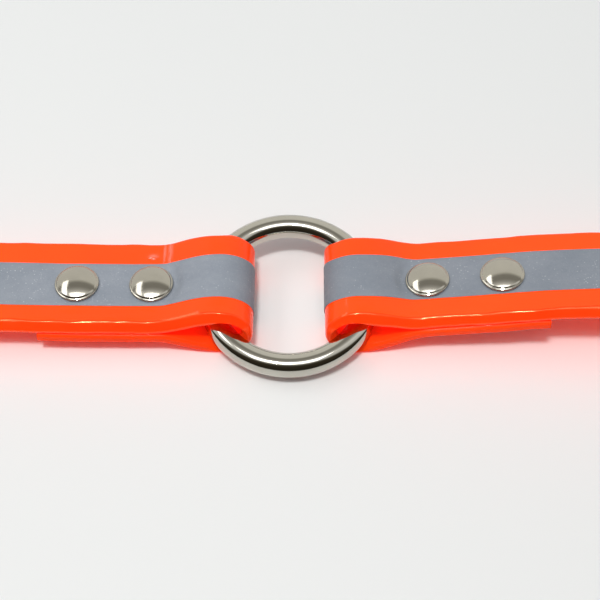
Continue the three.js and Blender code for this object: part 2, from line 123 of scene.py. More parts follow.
def half_gap(x):
    return PITCH / 2 + (HALF - PITCH / 2) * (0.5 + 0.5 * np.cos(np.pi * np.clip((x - PEAK) / (THROAT - PEAK), 0, 1)))

def resample(pts, step):
    pts = np.array(pts, float)
    d = np.r_[0, np.cumsum(np.linalg.norm(np.diff(pts, axis=0), axis=1))]
    n = int(round(d[-1] / step))
    s = np.linspace(0, d[-1], n + 1)
    return np.c_[np.interp(s, d, pts[:, 0]), np.interp(s, d, pts[:, 1])], s

def loop_line(side, ret, spine):
    a = [(side * x, spine(x) - half_gap(x)) for x in np.arange(ret, PEAK, -0.25)]
    b = [(side * (PEAK - (PEAK - NOSE) * math.cos(q)), float(spine(PEAK)) + HALF * math.sin(q))
         for q in np.linspace(-math.pi / 2, math.pi / 2, 90)]
    c = [(side * x, spine(x) + half_gap(x)) for x in np.arange(PEAK + 0.25, ret, 0.25)]
    return a + b + c

def line_left():
    pts = loop_line(-1, -RET_L, spine_l)
    back = -HEEL_X
    half = lambda x: PITCH / 2 + (FOLD_R - PITCH / 2) * (0.5 - 0.5 * np.cos(np.pi * np.clip((x - (back - 11)) / 11, 0, 1)))
    pts += [(-x, float(spine_l(x) + half(x))) for x in np.arange(-RET_L, back, 0.25)]
    pts += [(HEEL_X - FOLD_R * math.cos(q), HEEL_Z + FOLD_R * math.sin(q)) for q in np.linspace(math.pi / 2, -math.pi / 2, 50)]
    pts += [(-x, float(spine_l(x) - half(x))) for x in np.arange(back - 0.25, back - B_RETURN - 0.01, -0.25)]
    return resample(pts, 0.7)

def line_right():
    pts = loop_line(1, RET_R, spine_r)
    pts += [(x, float(spine_r(x)) + PITCH / 2) for x in np.arange(RET_R, END + 0.01, 0.25)]
    return resample(pts, 0.7)

def line_normals(line, side):
    t = np.gradient(line, axis=0)
    t /= np.linalg.norm(t, axis=1)[:, None]
    return np.c_[-t[:, 1], t[:, 0]] * side

# a small, repeatable value noise
def vnoise(x, seed):
    x = np.asarray(x, float)
    i = np.floor(x)
    f = x - i
    f = f * f * (3 - 2 * f)
    h = lambda k: np.mod(np.sin(k * 127.1 + seed * 311.7) * 43758.5453, 1.0)
    return (h(i) * (1 - f) + h(i + 1) * f) * 2 - 1

# reach of the ring round a strap's pivot axis, along that axis
def reach_table(pivot, side):
    ax = np.array([0, 1, TWIST]); ax /= np.linalg.norm(ax)
    u, w = np.meshgrid(np.linspace(-1.35, 1.35, 2400), np.linspace(0, 2 * np.pi, 240))
    r = RING_R + WIRE * np.cos(w)
    p = np.stack([side * r * np.cos(u), r * np.sin(u), WIRE * np.sin(w)], -1).reshape(-1, 3)
    c, s = math.cos(RING_TILT), math.sin(RING_TILT)
    p = np.c_[p[:, 0], p[:, 1] * c - p[:, 2] * s, p[:, 1] * s + p[:, 2] * c + RING_Z]
    q = p - pivot
    al = q @ ax
    aw = np.sqrt(np.maximum(0, (q ** 2).sum(1) - al ** 2))
    k = np.round((al + 14) / 0.1).astype(int)
    best = np.zeros(281)
    ok = (k >= 0) & (k < 281)
    np.maximum.at(best, k[ok], aw[ok])
    return np.arange(281) * 0.1 - 14, best + 0.08, ax

reach = {-1: reach_table(pivot_l, -1), 1: reach_table(pivot_r, 1)}

# rivets: centre between the layers, and axes
def rivet_frame(x, spine, side):
    e = 0.5
    slope = float(spine(abs(x) + e) - spine(abs(x) - e)) / (2 * e) * side
    z = float(spine(abs(x)))
    ex = Vector((1, 0, slope)).normalized()
    ey = Vector((0, 1, float(twist(x)))).normalized()
    ez = ex.cross(ey).normalized()
    ey = ez.cross(ex).normalized()
    return np.array([x, Y0, z]), np.array([ex, ey, ez])

def rivet_x(name):
    lo, hi = mm_box(name)
    return float(lo[0] + hi[0]) / 2

back = -HEEL_X
RIVETS = {
    "ring_left_inner": (-32.5, spine_l, -1), "ring_left_outer": (-50.1, spine_l, -1),
    "buckle_front": (-(back - 16), spine_l, -1), "buckle_rear": (-(back - 38), spine_l, -1),
    "ring_right_inner": (32.9, spine_r, 1), "ring_right_outer": (50.2, spine_r, 1),
}
rframes = {k: rivet_frame(*v) for k, v in RIVETS.items()}

def place(line, nrm, idx, y, n, side, wave=1.0, seed=0.0, svals=None):
    """points (mm) of a strap at stations idx, across y (from the centreline) and n (out from mid-thickness)"""
    ax_x = np.abs(line[idx, 0])
    y = y - 0.25 * (1 - smooth(21, 29, ax_x)) * smooth(8, 12.7, y) - (1.25 if side > 0 else 0.5) * waist(line[idx]) * smooth(1, 12.7, y)
    def raw(nn, yy):
        x = line[idx, 0] + nrm[idx, 0] * nn
        z = line[idx, 1] + nrm[idx, 1] * nn
        return np.stack([x, Y0 + yy, z + yy * twist(x)], -1)
    p = raw(n, y)
    outer = raw(np.full_like(n, T / 2), y)
    # flattened under the rivets
    for key, (c, ax) in rframes.items():
        if RIVETS[key][2] != side:
            continue
        d = outer - c
        h = d @ ax[2]
        rr = np.sqrt((d @ ax[0]) ** 2 + (d @ ax[1]) ** 2)
        over = np.maximum(0, np.abs(h) - (PITCH / 2 + T / 2)) * (1 - smooth(5.3, 8.0, rr)) * np.sign(h)
        p = p - over[..., None] * ax[2]
        # the soft coat presses in slightly under each cap and swells beside it
        press = (0.10 * (1 - smooth(4.9, 5.7, rr)) - 0.05 * np.exp(-((rr - 6.3) / 0.8) ** 2)) * np.sign(h)
        near = (np.abs(h) < 6).astype(float) * smooth(0, T / 2, n)
        p = p - (press * near)[..., None] * ax[2]
    # room for the ring inside the loop
    piv = pivot_l if side < 0 else pivot_r
    ks, best, ax = reach[side]
    q = p - piv
    al = q @ ax
    rad_v = q - al[..., None] * ax
    d = np.linalg.norm(rad_v, axis=-1)
    need = np.interp(al, ks, best) + 0.12 * (n + T / 2) / T
    in_loop = (np.abs(p[..., 0]) < 27) & (d > 1e-6)
    push = np.where(in_loop, np.maximum(0, need - d), 0)
    p = p + rad_v / np.maximum(d, 1e-6)[..., None] * push[..., None]
    return p

def cross_section(half_w, low, high, rc, flat_n, arc_n):
    """closed section (y, n), anticlockwise seen from -x"""
    pts = []
    for cy, cn, a0 in ((half_w - rc, high - rc, 0), (-half_w + rc, high - rc, 90), (-half_w + rc, low + rc, 180), (half_w - rc, low + rc, 270)):
        for k in range(arc_n + 1):
            a = math.radians(a0 + 90 * k / arc_n)
            pts.append((cy + rc * math.cos(a), cn + rc * math.sin(a)))
        nxt = {0: (-1, high), 180: (1, low)}.get(a0)
        if nxt:
            ys = np.linspace(nxt[0] * -(half_w - rc), nxt[0] * (half_w - rc), flat_n + 2)[1:-1]
            pts += [(float(v), nxt[1]) for v in ys]
    return np.array(pts)

def mesh_from(name, verts, faces, mats=None, smooth_angle=35):
    me = bpy.data.meshes.new(name)
    me.from_pydata([tuple(v) for v in (np.asarray(verts) * MM)], [], faces)
    me.validate()
    ob = bpy.data.objects.new(name, me)
    scene.collection.objects.link(ob)
    for p in me.polygons:
        p.use_smooth = True
    me.set_sharp_from_angle(angle=math.radians(smooth_angle))
    return ob

def sweep_strip(name, line, side, section, jitter=None, cap_inset=0.55):
    nrm = line_normals(line, side)
    ns, nc = len(line), len(section)
    idx = np.repeat(np.arange(ns), nc)
    y = np.tile(section[:, 0], ns)
    n = np.tile(section[:, 1], ns)
    if jitter is not None:
        dy, dn = jitter(idx, y, n)
        y = y + dy
        n = n + dn
    verts = place(line, nrm, idx, y, n, side)
    flip = side > 0
    faces = []
    for i in range(ns - 1):
        a, b = i * nc, (i + 1) * nc
        for j in range(nc):
            k = (j + 1) % nc
            f = (a + j, a + k, b + k, b + j)
            faces.append(f if flip else f[::-1])
    # cut ends: a border of coat, then the webbing's threads, a touch recessed
    cap_faces = []
    allv = [verts]
    base = len(verts)
    for e, i in ((0, 0), (1, ns - 1)):
        ring = list(range(i * nc, (i + 1) * nc))
        sec = section.copy()
        hw, hh = np.abs(section[:, 0]).max(), (section[:, 1].max() - section[:, 1].min()) / 2
        mid = (section[:, 1].max() + section[:, 1].min()) / 2
        inner = np.c_[sec[:, 0] * (hw - cap_inset) / hw, mid + (sec[:, 1] - mid) * max(0.2, (hh - cap_inset) / hh)]
        iv = place(line, nrm, np.full(nc, i), inner[:, 0], inner[:, 1], side)
        allv.append(iv)
        iring = list(range(base, base + nc))
        base += nc
        for j in range(nc):
            k = (j + 1) % nc
            f = (ring[j], iring[j], iring[k], ring[k])
            rev = (e == 0) ^ flip
            faces.append(f[::-1] if not rev else f)
        f = tuple(iring)
        rev = (e == 0) ^ flip
        cap_faces.append(len(faces))
        faces.append(f[::-1] if rev else f)
    ob = mesh_from(name, np.concatenate(allv), faces)
    bm = bmesh.new(); bm.from_mesh(ob.data)
    bmesh.ops.recalc_face_normals(bm, faces=bm.faces)
    bm.to_mesh(ob.data); bm.free()
    ob["cap_faces"] = cap_faces
    return ob

lineL, sL = line_left()
lineR, sR = line_right()
SEC = cross_section(W / 2, -T / 2, T / 2, 0.95, 23, 8)

def bevelled(u0, uw, rho0=1.0, rho1=0.75):
    """the strap's section with its near edge's upper corner eased into a slope"""
    c0, c1 = np.array([u0, T / 2 - rho0]), np.array([uw - rho1, -T / 2 + rho1])
    d = c1 - c0
    turn = math.acos((rho0 - rho1) / np.linalg.norm(d))
    g = math.pi / 2 - (math.atan2(d[1], d[0]) + turn)
    sec = SEC.copy()
    top, low = 9 + 23, 9 + 23 + 9
    for k in range(9):
        c, rho, a = (c0, rho0, g * k / 5) if k <= 5 else (c1, rho1, g + (math.radians(80) - g) * (k - 6) / 2)
        sec[top + k] = (-(c[0] + rho * math.sin(a)), c[1] + rho * math.cos(a))
        a = math.radians(95 + 85 * k / 8)
        sec[low + k] = (-(c1[0] + rho1 * math.sin(a)), c1[1] + rho1 * math.cos(a))
    sec[9:top, 0] = np.linspace(sec[8, 0], sec[top, 0], 25)[1:-1]
    sec[low + 9:low + 9 + 23, 0] = np.linspace(sec[low + 8, 0], sec[low + 9 + 23, 0], 25)[1:-1]
    return sec

def strap_jitter(seed, line, eased):
    nose = int(np.argmin(np.abs(line[:, 0]) + 100 * (np.abs(line[:, 0]) > 10.5)))
    ridge = np.zeros(len(SEC)); ridge[9 + 19:9 + 23 + 6] = np.r_[0.2, 0.45, 0.7, 0.9, 1, 1, 1, 1, 0.8, 0.5]
    def f(idx, y, n):
        s = idx * 0.7
        x = np.abs(line[idx, 0])
        k = np.arange(len(idx)) % len(SEC)
        ease = over(line[idx], 0.5, 5.0) * (1 - smooth(80, 95, x)) * (idx > nose)
        my = ease * (eased[k, 0] - SEC[k, 0]) + ease * ridge[k] * (vnoise(s / 4.6, seed + 31) * 0.20 + vnoise(s / 1.9, seed + 33) * 0.09)
        mn = ease * (eased[k, 1] - SEC[k, 1])
        edge = smooth(10.2, 12.4, np.abs(y))
        sg = np.sign(y)
        wob = vnoise(s / 5.2, seed + sg) * 0.09 + vnoise(s / 2.1, seed + 3 + sg) * 0.045
        lift = vnoise(s / 7.5, seed + 7 + sg) * 0.06 + vnoise(s / 3.0, seed + 11 + sg) * 0.03
        flat = (vnoise(s / 9.0, seed + 17) * 0.03 + vnoise(s / 4.0 + y / 5.0, seed + 19) * 0.02) * (1 - edge)
        return sg * wob * edge + my, (lift * edge + flat) * np.where(n > 0, 1, 0.6) + mn
    return f

strap_l = sweep_strip("strap_buckle_side", lineL, -1, SEC, strap_jitter(1.0, lineL, bevelled(10.2, 12.3)))
strap_r = sweep_strip("strap_punched", lineR, 1, SEC, strap_jitter(2.0, lineR, bevelled(10.35, 12.3)))

def tape_section(half_w, low, high, flat_n):
    return cross_section(half_w, low, high, 0.07, flat_n, 2)

TAPE = tape_section(6.15, T / 2 + 0.02, T / 2 + 0.17, 13)

def tape_jitter(seed, shift):
    def f(idx, y, n):
        s = idx * 0.7
        edge = smooth(5.4, 6.1, np.abs(y))
        off = shift(lineR[idx] if seed > 1.5 else lineL[idx])
        flat = vnoise(s / 9.0, seed + 17) * 0.03 + vnoise(s / 4.0 + y / 5.0, seed + 19) * 0.02
        return edge * np.sign(y) * vnoise(s / 11.0, seed + 23 + np.sign(y)) * 0.05 + off, flat
    return f

tape_l = sweep_strip("tape_buckle_side", lineL, -1, TAPE, tape_jitter(1.0, lambda p: 0 * p[:, 0]), cap_inset=0.03)
tape_r = sweep_strip("tape_punched", lineR, 1, TAPE, tape_jitter(2.0, lambda p: 0.8 - 0.6 * waist(p)), cap_inset=0.03)

# ------------------------------------------------------------------ cutters
def cylinder(name, centre, axis, r, h, seg=48):
    bm = bmesh.new()
    bmesh.ops.create_cone(bm, cap_ends=True, segments=seg, radius1=r * MM, radius2=r * MM, depth=h * MM)
    me = bpy.data.meshes.new(name)
    bm.to_mesh(me); bm.free()
    ob = bpy.data.objects.new(name, me)
    scene.collection.objects.link(ob)
    q = Vector((0, 0, 1)).rotation_difference(Vector(axis))
    me.transform(Matrix.Translation(Vector(centre) * MM) @ q.to_matrix().to_4x4())
    return ob

def prism(name, outline, z0, z1):
    bm = bmesh.new()
    lo = [bm.verts.new((x * MM, y * MM, z0 * MM)) for x, y in outline]
    hi = [bm.verts.new((x * MM, y * MM, z1 * MM)) for x, y in outline]
    bm.faces.new(lo[::-1]); bm.faces.new(hi)
    for i in range(len(lo)):
        j = (i + 1) % len(lo)
        bm.faces.new((lo[i], lo[j], hi[j], hi[i]))
    bmesh.ops.recalc_face_normals(bm, faces=bm.faces)
    me = bpy.data.meshes.new(name)
    bm.to_mesh(me); bm.free()
    ob = bpy.data.objects.new(name, me)
    scene.collection.objects.link(ob)
    return ob

def join(name, obs):
    bm = bmesh.new()
    for o in obs:
        bm.from_mesh(o.data)
    me = bpy.data.meshes.new(name)
    bm.to_mesh(me); bm.free()
    ob = bpy.data.objects.new(name, me)
    scene.collection.objects.link(ob)
    for o in obs:
        m = o.data
        bpy.data.objects.remove(o)
        bpy.data.meshes.remove(m)
    return ob

def cut(ob, cutter, cutter_mat=None):
    if cutter_mat is not None:
        cutter.data.materials.clear()
        cutter.data.materials.append(cutter_mat)
    mod = ob.modifiers.new("cut", "BOOLEAN")
    mod.operation = "DIFFERENCE"
    mod.solver = "EXACT"
    mod.object = cutter
    if hasattr(mod, "material_mode"):
        mod.material_mode = "TRANSFER"
    dg = bpy.context.evaluated_depsgraph_get()
    me = bpy.data.meshes.new_from_object(ob.evaluated_get(dg), preserve_all_data_layers=True, depsgraph=dg)
    ob.modifiers.clear()
    old = ob.data
    ob.data = me
    bpy.data.meshes.remove(old)
    me.set_sharp_from_angle(angle=math.radians(35))

def slot_outline():
    pts = [(HEEL_X - 12, Y0 - 2.7)]
    pts += [(HEEL_X + 8.3 + 2.7 * math.cos(a), Y0 + 2.7 * math.sin(a)) for a in np.linspace(-math.pi / 2, math.pi / 2, 17)]
    pts += [(HEEL_X - 12, Y0 + 2.7)]
    return pts

def tip_outline():
    r = 17.0
    pts = [(END + 3, -22), (END - r, -22)]
    hw = W / 2
    def quad(p0, p1, p2, n=16):
        return [tuple((1 - t) ** 2 * np.array(p0) + 2 * t * (1 - t) * np.array(p1) + t * t * np.array(p2)) for t in np.linspace(0, 1, n)]
    a = quad((END - r, -hw - 0.2), (END - 1.5, -hw + 1.5), (END, 0))
    b = quad((END, 0), (END - 1.5, hw - 1.5), (END - r, hw + 0.2))
    pts += [(x, y + Y0) for x, y in a + b[1:]]
    pts += [(END - r, 22), (END + 3, 22)]
    return pts

def hole_axis(x):
    slope = float(spine_r(x + 0.5) - spine_r(x - 0.5))
    return Vector((-slope, 0, 1)).normalized()

def cutter_for(side, tag, hole_r=2.5):
    obs = []
    for key, (c, ax) in rframes.items():
        if RIVETS[key][2] == side:
            obs.append(cylinder("c", c, ax[2], 2.25, 16, 32))
    if side < 0:
        obs.append(prism("c", slot_outline(), -6, 18))
    else:
        obs.append(prism("c", tip_outline(), -4, 8))
        for x in HOLES:
            obs.append(cylinder("c", (x, Y0, float(spine_r(x)) + PITCH / 2), hole_axis(x), hole_r, 12))
    return join("cutter_" + tag, obs)

# ------------------------------------------------------------------ materials
def srgb(r, g, b):
    f = lambda c: c / 12.92 if c <= 0.04045 else ((c + 0.055) / 1.055) ** 2.4
    return (f(r / 255), f(g / 255), f(b / 255), 1)

class Nodes:
    def __init__(self, name):
        self.m = bpy.data.materials.new(name)
        self.m.use_nodes = True
        self.t = self.m.node_tree
        self.t.nodes.clear()
        self.out = self.add("ShaderNodeOutputMaterial")
        self.bsdf = self.add("ShaderNodeBsdfPrincipled")
        self.link(self.bsdf.outputs[0], self.out.inputs[0])
        self.geo = self.add("ShaderNodeTexCoord")
    def add(self, kind, **kw):
        n = self.t.nodes.new(kind)
        for k, v in kw.items():
            setattr(n, k, v)
        return n
    def link(self, a, b):
        self.t.links.new(a, b)
    def val(self, node, name, v):
        node.inputs[name].default_value = v
    def mapped(self, scale, rot=(0, 0, 0)):
        mp = self.add("ShaderNodeMapping")
        mp.inputs["Scale"].default_value = scale
        mp.inputs["Rotation"].default_value = rot
        self.link(self.geo.outputs["Object"], mp.inputs["Vector"])
        return mp.outputs[0]
    def noise(self, vec, scale, detail=2, rough=0.5):
        n = self.add("ShaderNodeTexNoise")
        n.inputs["Scale"].default_value = scale
        n.inputs["Detail"].default_value = detail
        n.inputs["Roughness"].default_value = rough
        self.link(vec, n.inputs["Vector"])
        return n.outputs["Fac"]
    def voronoi(self, vec, scale, feature="F1"):
        n = self.add("ShaderNodeTexVoronoi")
        n.feature = feature
        n.inputs["Scale"].default_value = scale
        self.link(vec, n.inputs["Vector"])
        return n
    def ramp(self, fac, stops):
        r = self.add("ShaderNodeValToRGB")
        while len(r.color_ramp.elements) > 1:
            r.color_ramp.elements.remove(r.color_ramp.elements[-1])
        r.color_ramp.elements[0].position, r.color_ramp.elements[0].color = stops[0][0], stops[0][1]
        for p, c in stops[1:]:
            e = r.color_ramp.elements.new(p)
            e.color = c
        self.link(fac, r.inputs[0])
        return r.outputs[0]
    def mix(self, fac, a, b, blend="MIX"):
        m = self.add("ShaderNodeMix", data_type="RGBA", blend_type=blend)
        for sock, v in ((m.inputs[0], fac), (m.inputs[6], a), (m.inputs[7], b)):
            if hasattr(v, "is_linked") or hasattr(v, "links"):
                self.link(v, sock)
            else:
                sock.default_value = v
        return m.outputs[2]
    def math(self, op, a, b=0.0, c=None):
        m = self.add("ShaderNodeMath", operation=op)
        vals = [a, b] + ([c] if c is not None else [])
        for i, v in enumerate(vals):
            if hasattr(v, "links"):
                self.link(v, m.inputs[i])
            else:
                m.inputs[i].default_value = v
        return m.outputs[0]
    def bump(self, height, strength, dist, normal=None):
        b = self.add("ShaderNodeBump")
        b.inputs["Strength"].default_value = strength
        b.inputs["Distance"].default_value = dist
        self.link(height, b.inputs["Height"])
        if normal is not None:
            self.link(normal, b.inputs["Normal"])
        return b.outputs[0]

def grey(v):
    return (v, v, v, 1)

def make_coat(name, painted_glow_seen, painted_glow_cast, base=((255, 76, 8), (255, 84, 12)), gloss=0.45, sheen=(0.03, 0.06), shine=None, marks=()):
    n = Nodes(name)
    b = n.bsdf
    big = n.noise(n.mapped((1, 1, 1)), 35, 3)
    fine = n.noise(n.mapped((1, 1, 1)), 900, 3, 0.6)
    drift = n.noise(n.mapped((1, 2.2, 1)), 140, 2)
    col = n.ramp(big, [(0.3, srgb(*base[0])), (0.7, srgb(*base[1]))])
    col = n.mix(n.math("MULTIPLY", fine, 0.12), col, srgb(255, 60, 6))
    n.link(col, b.inputs["Base Color"])
    rough = n.ramp(drift, [(0.25, grey(0.26)), (0.75, grey(0.38))])
    n.link(rough, b.inputs["Roughness"])
    n.val(b, "Specular IOR Level", 0.05)
    if shine:
        rough = n.ramp(drift, [(0.25, grey(shine[0])), (0.75, grey(shine[1]))])
        n.link(rough, b.inputs["Roughness"])
        n.val(b, "Specular IOR Level", 1.0)
        b.inputs["Specular Tint"].default_value = (1.0, 0.50, 0.22, 1)
    lp = n.add("ShaderNodeLightPath")
    sharp = n.math("SUBTRACT", 1.0, n.math("MULTIPLY", lp.outputs["Is Diffuse Ray"], 0.9))
    n.link(n.math("MULTIPLY", sharp, gloss), b.inputs["Coat Weight"])
    n.link(n.ramp(drift, [(0.3, grey(sheen[0])), (0.75, grey(sheen[1]))]), b.inputs["Coat Roughness"])
    n.val(b, "Coat IOR", 1.42)
    # painted glow: a fixed red emission stands in for the red light the fluorescent coat gives back; it is strongest
    # for diffuse rays, so it lights the floor round the strap red, weaker where seen, and weaker again in reflections
    painted_glow = n.math("ADD", n.math("MULTIPLY", lp.outputs["Is Diffuse Ray"], painted_glow_cast - painted_glow_seen), painted_glow_seen)
    painted_glow = n.math("SUBTRACT", painted_glow, n.math("MULTIPLY", lp.outputs["Is Glossy Ray"], 0.6 * painted_glow_seen))
    n.link(painted_glow, b.inputs["Emission Strength"])
    b.inputs["Emission Color"].default_value = (1.0, 0.035, 0.012, 1)
    h = n.math("ADD", n.math("MULTIPLY", drift, 0.7), n.math("MULTIPLY", fine, 0.05))
    n.link(n.bump(h, 0.35, 0.0006), b.inputs["Normal"])
    skin = n.bump(h, 0.30, 0.0006)
    n.link(skin, b.inputs["Coat Normal"])
    if marks:
        # small swellings where the coat is pinched beside a rivet: x, y, half widths, height in mm; the coat weight and
        # coat IOR are raised there far beyond the rest, a boosted, painted highlight
        sep = n.add("ShaderNodeSeparateXYZ")
        n.link(n.mapped((1, 1, 1)), sep.inputs[0])
        rise, where = None, None
        for x, y, sx, sy, high in marks:
            u = n.math("DIVIDE", n.math("SUBTRACT", sep.outputs["X"], x * MM), sx * MM)
            v = n.math("DIVIDE", n.math("SUBTRACT", sep.outputs["Y"], y * MM), sy * MM)
            g = n.math("EXPONENT", n.math("MULTIPLY", n.math("ADD", n.math("MULTIPLY", u, u), n.math("MULTIPLY", v, v)), -1.0), 0.0)
            rise = n.math("MULTIPLY", g, high) if rise is None else n.math("ADD", rise, n.math("MULTIPLY", g, high))
            where = g if where is None else n.math("ADD", where, g)
        swell = n.add("ShaderNodeBump")
        swell.inputs["Strength"].default_value = 1.0
        swell.inputs["Distance"].default_value = MM
        n.link(rise, swell.inputs["Height"])
        n.link(swell.outputs["Normal"], skin.node.inputs["Normal"])
        n.link(n.math("MULTIPLY", sharp, n.math("MINIMUM", n.math("ADD", n.math("MULTIPLY", where, 1.6), gloss), 1.0)), b.inputs["Coat Weight"])
        n.link(n.math("ADD", n.math("MULTIPLY", where, 1.0), 1.42), b.inputs["Coat IOR"])
    return n.m

def make_cut(name="cut_webbing_edge"):
    n = Nodes(name)
    b = n.bsdf
    v = n.voronoi(n.mapped((1, 1, 1)), 1500)
    f = n.noise(n.mapped((1, 1, 1)), 3500, 3, 0.7)
    col = n.ramp(v.outputs["Distance"], [(0.0, srgb(255, 196, 160)), (0.45, srgb(250, 118, 66)), (0.8, srgb(214, 62, 24))])
    col = n.mix(n.math("MULTIPLY", f, 0.35), col, srgb(255, 225, 205))
    n.link(col, b.inputs["Base Color"])
    n.val(b, "Roughness", 0.8)
    n.val(b, "Specular IOR Level", 0.2)
    n.link(n.bump(n.math("ADD", v.outputs["Distance"], f), 0.8, 0.0004), b.inputs["Normal"])
    return n.m

def make_tape(name, tone=1.0):
    n = Nodes(name)
    b = n.bsdf
    o = n.mapped((1, 1, 1))
    cloud = n.noise(n.mapped((1, 1.6, 1)), 90, 3, 0.55)
    grain = n.noise(o, 2400, 3, 0.75)
    mid = n.noise(o, 700, 3, 0.65)
    # painted glints: white specks in the base colour stand in for light caught by the tape's glass beads
    spark = n.voronoi(o, 1900)
    dot = n.ramp(spark.outputs["Distance"], [(0.0, grey(1)), (0.18, grey(0.8)), (0.32, grey(0.0))])
    pick = n.ramp(n.noise(o, 120, 4, 0.8), [(0.50, grey(0.0)), (0.66, grey(1.0))])
    lone = n.ramp(spark.outputs["Color"], [(0.60, grey(0.0)), (0.66, grey(1.0))])
    base = n.ramp(cloud, [(0.3, srgb(134 * tone, 142 * tone, 153 * tone)), (0.7, srgb(152 * tone, 158 * tone, 168 * tone))])
    base = n.mix(n.math("MULTIPLY", mid, 0.5), base, srgb(122 * tone, 131 * tone, 142 * tone))
    base = n.mix(n.math("MULTIPLY", grain, 0.42), base, srgb(170 * tone, 175 * tone, 184 * tone))
    base = n.mix(n.math("MULTIPLY", n.math("MULTIPLY", dot, lone), n.math("ADD", n.math("MULTIPLY", pick, 0.62), 0.10)), base, srgb(228, 231, 235))
    n.link(base, b.inputs["Base Color"])
    n.link(n.ramp(mid, [(0.3, grey(0.5)), (0.7, grey(0.68))]), b.inputs["Roughness"])
    n.val(b, "Metallic", 0.12)
    n.val(b, "Specular IOR Level", 0.3)
    n.link(n.bump(n.math("ADD", grain, n.math("MULTIPLY", spark.outputs["Distance"], 0.7)), 0.3, 0.00012), b.inputs["Normal"])
    return n.m

def make_nickel(name, tint=(199, 195, 186), rough=(0.035, 0.10), scratch=0.05):
    n = Nodes(name)
    b = n.bsdf
    o = n.mapped((1, 1, 1))
    blot = n.noise(o, 160, 3, 0.6)
    fine = n.noise(n.mapped((1.0, 14.0, 1.0), (0.4, 0.9, 0.3)), 420, 3, 0.7)
    pit = n.noise(o, 5200, 2, 0.5)
    c1 = srgb(*tint)
    c2 = srgb(*[min(255, int(v * 0.955)) for v in tint])
    n.link(n.ramp(blot, [(0.3, c1), (0.72, c2)]), b.inputs["Base Color"])
    n.val(b, "Metallic", 1.0)
    n.link(n.ramp(n.math("ADD", n.math("MULTIPLY", blot, 0.6), n.math("MULTIPLY", fine, 0.4)), [(0.35, grey(rough[0])), (0.7, grey(rough[1]))]), b.inputs["Roughness"])
    h = n.math("ADD", n.math("MULTIPLY", fine, 0.6), n.math("MULTIPLY", pit, 0.4))
    n.link(n.bump(h, scratch, 0.00005), b.inputs["Normal"])
    return n.m

coat = make_coat("coated_webbing_orange", 0.32, 0.44,
                 marks=((-28.5, 9.6, 0.50, 3.4, 0.42), (-29.9, 9.8, 0.30, 3.0, 0.22), (-32.6, 8.8, 1.05, 0.75, 0.42)))
# painted shade: a darker, redder copy of the coat with less glow, for the faces of the near edge, with a sharper
# warm-tinted specular for the ridge's highlight
coat_shaded_edge = make_coat("coated_webbing_orange_shaded_edge", 0.26, 0.44, ((254, 60, 6), (255, 68, 8)), 0.12, (0.08, 0.12), (0.10, 0.15))
# painted shade: a darker copy of the coat with less glow seen, for the return layers and the loops' inner faces; it
# casts more painted glow onto the floor beneath
coat_shaded_under = make_coat("coated_webbing_orange_shaded_under", 0.17, 0.56, ((252, 66, 10), (255, 74, 14)), 0.12)
cut_mat = make_cut()
tape_mat = make_tape("reflective_tape_grey")
tape_mat_r = make_tape("reflective_tape_grey_punched", 0.955)
nickel_ring = make_nickel("nickel_ring", (199, 196, 186))
nickel_rivet = make_nickel("nickel_rivet", (190, 186, 175), (0.085, 0.16), 0.08)
nickel_buckle = make_nickel("nickel_buckle", (197, 193, 185), (0.06, 0.14), 0.08)

def dress(ob, *mats):
    ob.data.materials.clear()
    for m in mats:
        ob.data.materials.append(m)

def dress_strap(ob, line, nc, ranges):
    dress(ob, coat, cut_mat, coat_shaded_under, coat_shaded_edge)
    stations = len(line) - 1
    for i, poly in enumerate(ob.data.polygons):
        k = i // nc
        # the return layers and, near the ring, the loops' inner faces get the darker copy of the coat, painted shade
        if k < stations and (any(a <= k < b for a, b in ranges) or (i % nc >= 41 and abs(line[k, 0]) < 40)):
            poly.material_index = 2
        # the near edge's faces get the darker copy of the coat, painted shade
        elif k < stations and 32 <= i % nc < 50 and abs(line[k, 0]) < 96:
            poly.material_index = 3
    for i in ob["cap_faces"]:
        ob.data.polygons[i].material_index = 1
        ob.data.polygons[i].use_smooth = False

low_l = int(np.argmax(lineL[:, 0]))
low_r = int(np.argmin(lineR[:, 0]))
fold_l = int(np.argmin(lineL[:, 0]))
dress_strap(strap_l, lineL, len(SEC), [(0, low_l - 8), (fold_l + 6, len(lineL))])
dress_strap(strap_r, lineR, len(SEC), [(0, low_r - 8)])
dress(tape_l, tape_mat)
dress(tape_r, tape_mat_r)

c = cutter_for(-1, "l"); cut(strap_l, c, cut_mat); cut(tape_l, c, tape_mat); bpy.data.objects.remove(c)
c = cutter_for(1, "r"); cut(strap_r, c, cut_mat); cut(tape_r, c, tape_mat_r); bpy.data.objects.remove(c)

# ------------------------------------------------------------------ ring
def torus(name, R, r, nu, nv):
    verts, faces = [], []
    for i in range(nu):
        u = 2 * math.pi * i / nu
        # the closing weld, dressed smooth, leaves the wire a hair thinner at one place
        weld = math.exp(-((((u / (2 * math.pi) + 0.5) % 1) - 0.5) * 2 * math.pi * R / 0.9) ** 2)
        rr = r * (1 - 0.004 * weld)
        for j in range(nv):
            v = 2 * math.pi * j / nv
            verts.append(((R + rr * math.cos(v)) * math.cos(u), (R + rr * math.cos(v)) * math.sin(u), rr * math.sin(v)))
    for i in range(nu):
        for j in range(nv):
            a, b = i * nv + j, i * nv + (j + 1) % nv
            c, d = ((i + 1) % nu) * nv + (j + 1) % nv, ((i + 1) % nu) * nv + j
            faces.append((a, d, c, b))
    return mesh_from(name, verts, faces, smooth_angle=80)

ring = torus("ring_wire", RING_R, WIRE, 288, 56)
ring.data.transform(Matrix.Translation((0, 0, RING_Z * MM)) @ Matrix.Rotation(RING_TILT, 4, "X"))
dress(ring, nickel_ring)

# ------------------------------------------------------------------ rivets
STACK = PITCH / 2 + T / 2 + 0.3 + 0.12

